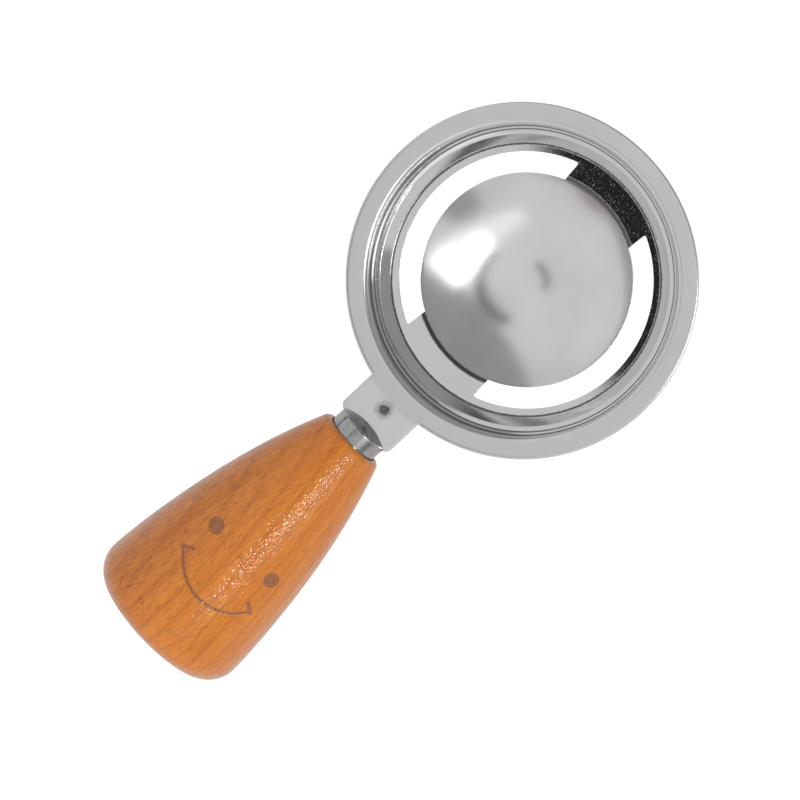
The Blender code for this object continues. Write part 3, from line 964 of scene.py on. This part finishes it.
def tang_steel():
    """Hot-rolled strip: duller, with rolling marks along it."""
    made, tree, shader = new_material("tang_steel", 1.0)
    point, x, y, z = surface(tree)
    streaks = speckle(tree, vector(tree, times(tree, x, 0.08), y, z), 3000, 4.0, 0.6)
    cloud = speckle(tree, point, 350, 4.0, 0.6)
    base = mixed(tree, cloud, colour(0.42, (1.0, 0.99, 0.98)), colour(0.60))
    normal = bump(tree, streaks, 0.00002)
    normal = bump(tree, speckle(tree, point, 2500, 3.0), 0.00001, normal)
    rough = plus(tree, streaks, 0.25, 0.22)
    fill(tree, shader, {"Base Color": base, "Roughness": rough, "Normal": normal})
    return made


def set_resin():
    """Cloudy set adhesive with small bubbles."""
    made, tree, shader = new_material("set_resin")
    point, _, _, _ = surface(tree)
    cloud = speckle(tree, point, 700, 4.0, 0.6)
    bubbles = remap(tree, speckle(tree, point, 4000, 0.0), 0.68, 0.78)
    base = mixed(tree, cloud, (0.56, 0.51, 0.36, 1.0), (0.70, 0.66, 0.52, 1.0))
    base = mixed(tree, bubbles, base, (0.80, 0.78, 0.68, 1.0))
    rough = plus(tree, cloud, 0.2, 0.35)
    fill(tree, shader, {"Base Color": base, "Roughness": rough, "Normal": bump(tree, bubbles, -0.00004)})
    return made


# ---------------------------------------------------------------- beech

PITH_Y = 0.050
PITH_Z = -0.022
RING_SPACING = 0.0034
GRAIN_STRETCH = 0.10
PALE_WOOD = (0.760, 0.258, 0.028, 1.0)
WARM_WOOD = (0.640, 0.180, 0.010, 1.0)
BROWN_WOOD = (0.400, 0.098, 0.008, 1.0)
PAINTED_SIDE_TINT = (0.560, 0.178, 0.030, 1.0)
OPEN_VESSEL = (0.225, 0.055, 0.010, 1.0)
DARK_CHAR = (0.215, 0.070, 0.026, 1.0)
LIGHT_CHAR = (0.370, 0.140, 0.058, 1.0)


def late_wood(tree, x, y, height, slow):
    """Dark ends of the growth rings, about a pith that lies well outside the handle."""
    pith_y = maths(tree, "SUBTRACT", y, PITH_Y)
    from_pith = length_of(tree, pith_y, maths(tree, "SUBTRACT", height, PITH_Z))
    from_pith = plus(tree, x, 0.05, from_pith)
    from_pith = wavering(tree, from_pith, 0.0075, slow, 55)
    from_pith = wavering(tree, from_pith, 0.0007, slow, 260)
    rings = maths(tree, "FRACT", maths(tree, "DIVIDE", from_pith, RING_SPACING))
    return times(tree, maths(tree, "POWER", rings, 5.0), remap(tree, rings, 1.0, 0.93))


def grain_thread(tree, x, y, height):
    """Grain coordinates that follow the turned side, and run straight through the butt."""
    at_end = remap(tree, x, BELLY_X - END_CORNER_RADIUS / 2, BELLY_X)
    from_axis = maths(tree, "MAXIMUM", length_of(tree, y, height), times(tree, at_end, BELLY_RADIUS))
    turned_to = maths(tree, "DIVIDE", BELLY_RADIUS, maths(tree, "MAXIMUM", from_axis, NECK_WALL))
    around = [times(tree, part, turned_to) for part in (y, height)]
    return vector(tree, times(tree, x, GRAIN_STRETCH), *around)


def beech():
    """Steamed beech under clear lacquer: rings, vessels, the scorched smile and a pebbled coat."""
    made, tree, shader = new_material("lacquered_beech")
    point, x, y, z = surface(tree)
    height = maths(tree, "SUBTRACT", z, AXIS_Z)
    slow = vector(tree, times(tree, x, 0.35), y, height)
    late = late_wood(tree, x, y, height, slow)
    thread = grain_thread(tree, x, y, height)
    fibres = speckle(tree, thread, 4200, 2.0, 0.6)
    streaks = speckle(tree, thread, 520, 3.0, 0.55)

    # Vessels, cut open as short dark dashes along the grain, denser in bands and on the -Y side
    side = remap(tree, y, 0.010, -0.016)
    threshold = plus(tree, speckle(tree, slow, 130), -0.14, 0.745)
    threshold = plus(tree, side, -0.085, threshold)
    dashes = maths(tree, "SUBTRACT", speckle(tree, thread, 3900, 1.0), threshold)
    vessels = maths(tree, "MULTIPLY", dashes, 14.0, clamp=True)

    mark = node(tree, "ShaderNodeAttribute", attribute_name="engraved").outputs["Fac"]
    char = speckle(tree, point, 3000, 3.0, 0.7)
    base = mixed(tree, remap(tree, streaks, 0.2, 0.8), WARM_WOOD, PALE_WOOD)
    # Painted light: towards the -Y edge, away from the window, the wood is mixed with a darker, pinker tone
    base = mixed(tree, times(tree, side, 0.55), base, PAINTED_SIDE_TINT)
    base = mixed(tree, times(tree, remap(tree, fibres, 0.46, 0.70), 0.60), base, BROWN_WOOD)
    base = mixed(tree, times(tree, late, 0.60), base, BROWN_WOOD)
    base = mixed(tree, times(tree, vessels, 0.85), base, OPEN_VESSEL)
    burnt = mixed(tree, remap(tree, char, 0.35, 0.65), DARK_CHAR, LIGHT_CHAR)
    base = mixed(tree, times(tree, remap(tree, mark, 0.25, 0.85), 0.9), base, burnt)

    rough = plus(tree, mark, 0.15, plus(tree, fibres, 0.18, 0.36))
    relief = plus(tree, vessels, -1.0, times(tree, fibres, 0.4))
    relief = plus(tree, times(tree, char, mark), 0.8, relief)
    # Lacquer: pebbled by sanding dust, sunk a little into the vessels
    coat = plus(tree, vessels, -0.4, speckle(tree, point, 1500, 0.0))
    fill(tree, shader, {
        "Base Color": base,
        "Roughness": rough,
        "Normal": bump(tree, relief, 0.00003),
        "Specular IOR Level": 0.1,
        "Coat Weight": 1.0,
        "Coat Roughness": 0.08,
        "Coat IOR": 1.5,
        "Coat Normal": bump(tree, coat, 0.00013),
    })
    return made


# ---------------------------------------------------------------- studio

FLOOR_HALF = 20.0
FLOOR_GLOW = 0.94
FLOOR_BOUNCE = 0.52
FLOOR_ALBEDO = 0.2
SKY_LEVEL = 0.68
SOFT_GAIN = 1.45
SEAM_ASIDE = (-0.86, 0.51, 0.0)
FLAG_CENTRE = (0.112, -0.085)
FLAG_INSIDE = 0.140
FLAG_OUTSIDE = 0.215
FLAG_TOWARDS = (0.906, -0.423, 0.0)
SHADE_TOWARDS = Vector((0.15, 0.90, 0.38))
WINDOW_TOWARDS = (0.0, 0.655, 0.756)
WINDOW_UP = (0.0, -0.756, 0.655)
WINDOW_CLIMB = 0.305
WINDOW_GLOW = 0.34
SOFTBOX_TOWARDS = Vector((-0.25, 0.56, 0.79))
SOFTBOX_LONG_WAY = Vector((1.0, 0.08, 0.0))
SOFTBOX_DISTANCE = 0.9
SOFTBOX_LENGTH = 0.46
SOFTBOX_WIDTH = 0.04
SOFTBOX_RADIANCE = 21.0
CAMERA_BACK = Vector((-0.1692, 0.0853, 0.982))
CAMERA_RIGHT = Vector((-0.7189, 0.6709, -0.1822))
CAMERA_AIM = Vector((-0.00072, 0.00093, RIM_Z))
CAMERA_DISTANCE = 1.1235
CAMERA_LENS = 225


def make_floor():
    """A pale table that shows white, and throws less light back on the object than it shows."""
    mesh = bpy.data.meshes.new("floor")
    h = FLOOR_HALF
    mesh.from_pydata([(-h, -h, 0.0), (h, -h, 0.0), (h, h, 0.0), (-h, h, 0.0)], [], [(0, 1, 2, 3)])
    floor = bpy.data.objects.new("floor", mesh)
    bpy.context.scene.collection.objects.link(floor)
    made, tree, shader = new_material("pale_floor")
    seen = node(tree, "ShaderNodeLightPath").outputs["Is Camera Ray"]
    fill(tree, shader, {
        "Base Color": colour(FLOOR_ALBEDO),
        "Roughness": 0.9,
        "Specular IOR Level": 0.0,
        "Emission Color": colour(1.0),
        "Emission Strength": plus(tree, seen, FLOOR_GLOW - FLOOR_BOUNCE, FLOOR_BOUNCE),
    })
    mesh.materials.append(made)


def dimmed(tree, level, share, keep):
    """The level where a patch's share is 0, and keep times it where its share is 1."""
    return times(tree, level, plus(tree, share, keep - 1.0, 1.0))


def seam_share(tree, direction, x, y):
    """Dark seam round the overhead panel, on its -X and +Y sides."""
    spread = length_of(tree, x, y)
    aside = maths(tree, "DIVIDE", dot(tree, direction, SEAM_ASIDE), maths(tree, "MAXIMUM", spread, 0.05))
    return times(tree, between(tree, spread, 0.39, 0.51, 0.025), remap(tree, aside, 0.32, 0.48))


def flag_share(tree, x, y, z):
    """Narrow dark flag, an arc about the direction that the rim reflects."""
    flag_x = maths(tree, "SUBTRACT", x, FLAG_CENTRE[0])
    flag_y = maths(tree, "SUBTRACT", y, FLAG_CENTRE[1])
    from_rim = length_of(tree, flag_x, flag_y)
    turn = dot(tree, vector(tree, flag_x, flag_y, 0.0), FLAG_TOWARDS)
    turn = maths(tree, "DIVIDE", turn, maths(tree, "MAXIMUM", from_rim, 0.02))
    band = between(tree, from_rim, FLAG_INSIDE, FLAG_OUTSIDE, 0.008)
    return times(tree, band, remap(tree, turn, 0.36, 0.62), remap(tree, z, 0.0, 0.3))


def shade_share(tree, direction):
    """Soft round shade below the window."""
    cosine = dot(tree, direction, SHADE_TOWARDS.normalized())
    return remap(tree, cosine, math.cos(math.radians(16)), math.cos(math.radians(7)))


def window_glow(tree, direction, x):
    """The window's light: brighter towards -X, with a lower edge that climbs towards +X."""
    facing = dot(tree, direction, WINDOW_TOWARDS)
    front = remap(tree, facing, 0.05, 0.15)
    facing = maths(tree, "MAXIMUM", facing, 0.05)
    across = maths(tree, "DIVIDE", x, facing)
    upwards = maths(tree, "DIVIDE", dot(tree, direction, WINDOW_UP), facing)
    climb = plus(tree, across, -WINDOW_CLIMB, upwards)
    window = times(tree, between(tree, across, -0.68, 0.70, 0.04), remap(tree, upwards, 0.22, 0.16))
    glow = remap(tree, across, -0.10, -0.50, WINDOW_GLOW, 3 * WINDOW_GLOW)
    return times(tree, window, remap(tree, climb, -0.25, -0.17), front, glow)


def make_sky():
    """A grey studio tent, with parts of it darkened and a long soft window on the +Y side."""
    world = bpy.data.worlds.new("studio")
    bpy.context.scene.world = world
    world.use_nodes = True
    tree = world.node_tree
    direction = node(tree, "ShaderNodeTexCoord").outputs["Generated"]
    parts = node(tree, "ShaderNodeSeparateXYZ", {0: direction}).outputs
    x, y, z = parts[0], parts[1], parts[2]
    low_room = times(tree, remap(tree, y, -0.25, -0.60), remap(tree, z, 0.17, 0.07))
    level = dimmed(tree, SKY_LEVEL, remap(tree, x, -0.46, -0.56), 0.46)
    level = dimmed(tree, level, seam_share(tree, direction, x, y), 0.10)
    level = dimmed(tree, level, low_room, 0.12)
    level = dimmed(tree, level, flag_share(tree, x, y, z), 0.02)
    level = dimmed(tree, level, shade_share(tree, direction), 0.50)
    level = maths(tree, "ADD", level, window_glow(tree, direction, x))
    # Matt surfaces get more of the sky than polished ones show
    matt = node(tree, "ShaderNodeLightPath").outputs["Is Diffuse Ray"]
    strength = plus(tree, matt, SOFT_GAIN - 1.0, 1.0)
    fill(tree, tree.nodes["Background"], {"Color": level, "Strength": strength})


def looking(origin, back, across):
    """A pose whose local Z is back and whose local X is as near across as it can be."""
    across = (across - across.dot(back) * back).normalized()
    turn = Matrix((across, back.cross(across), back)).transposed().to_4x4()
    return Matrix.Translation(origin) @ turn


def make_softbox():
    """A long, narrow softbox that faces the middle of the object."""
    light = bpy.data.lights.new("softbox", "AREA")
    light.shape = "RECTANGLE"
    light.size = SOFTBOX_LENGTH
    light.size_y = SOFTBOX_WIDTH
    light.energy = SOFTBOX_RADIANCE * math.pi * SOFTBOX_LENGTH * SOFTBOX_WIDTH
    softbox = bpy.data.objects.new("softbox", light)
    back = SOFTBOX_TOWARDS.normalized()
    middle = (cad_box[0] + cad_box[1]) / 2
    softbox.matrix_world = looking(middle + back * SOFTBOX_DISTANCE, back, SOFTBOX_LONG_WAY)
    bpy.context.scene.collection.objects.link(softbox)


def make_camera():
    """A long lens almost straight above, turned so that the handle points to the lower left."""
    data = bpy.data.cameras.new("camera")
    data.lens = CAMERA_LENS
    data.sensor_width = 36
    data.clip_start = 0.01
    data.clip_end = 100
    camera = bpy.data.objects.new("camera", data)
    back = CAMERA_BACK.normalized()
    camera.matrix_world = looking(CAMERA_AIM + back * CAMERA_DISTANCE, back, CAMERA_RIGHT)
    bpy.context.scene.collection.objects.link(camera)
    bpy.context.scene.camera = camera


def dress(piece, node_name, material):
    """Puts a piece in the place of its CAD node, with weighted normals and its material."""
    piece.data.set_sharp_from_angle(angle=SHARP_ANGLE)
    weighted = piece.modifiers.new("Weighted normals", "WEIGHTED_NORMAL")
    weighted.keep_sharp = True
    piece.data.materials.clear()
    piece.data.materials.append(material)
    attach(piece, "root")
    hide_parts(node_name)


def main():
    dress(make_cup(), "separator_cup", cup_steel())
    dress(make_ferrule(), "ferrule", ferrule_steel())
    dress(make_handle(), "handle", beech())
    dress(make_tang(), "tang", tang_steel())
    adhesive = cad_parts["adhesive"]
    for slot in adhesive.material_slots:
        slot.material = set_resin()
    make_floor()
    make_sky()
    make_softbox()
    make_camera()
    bpy.context.scene.view_settings.view_transform = "Standard"


main()
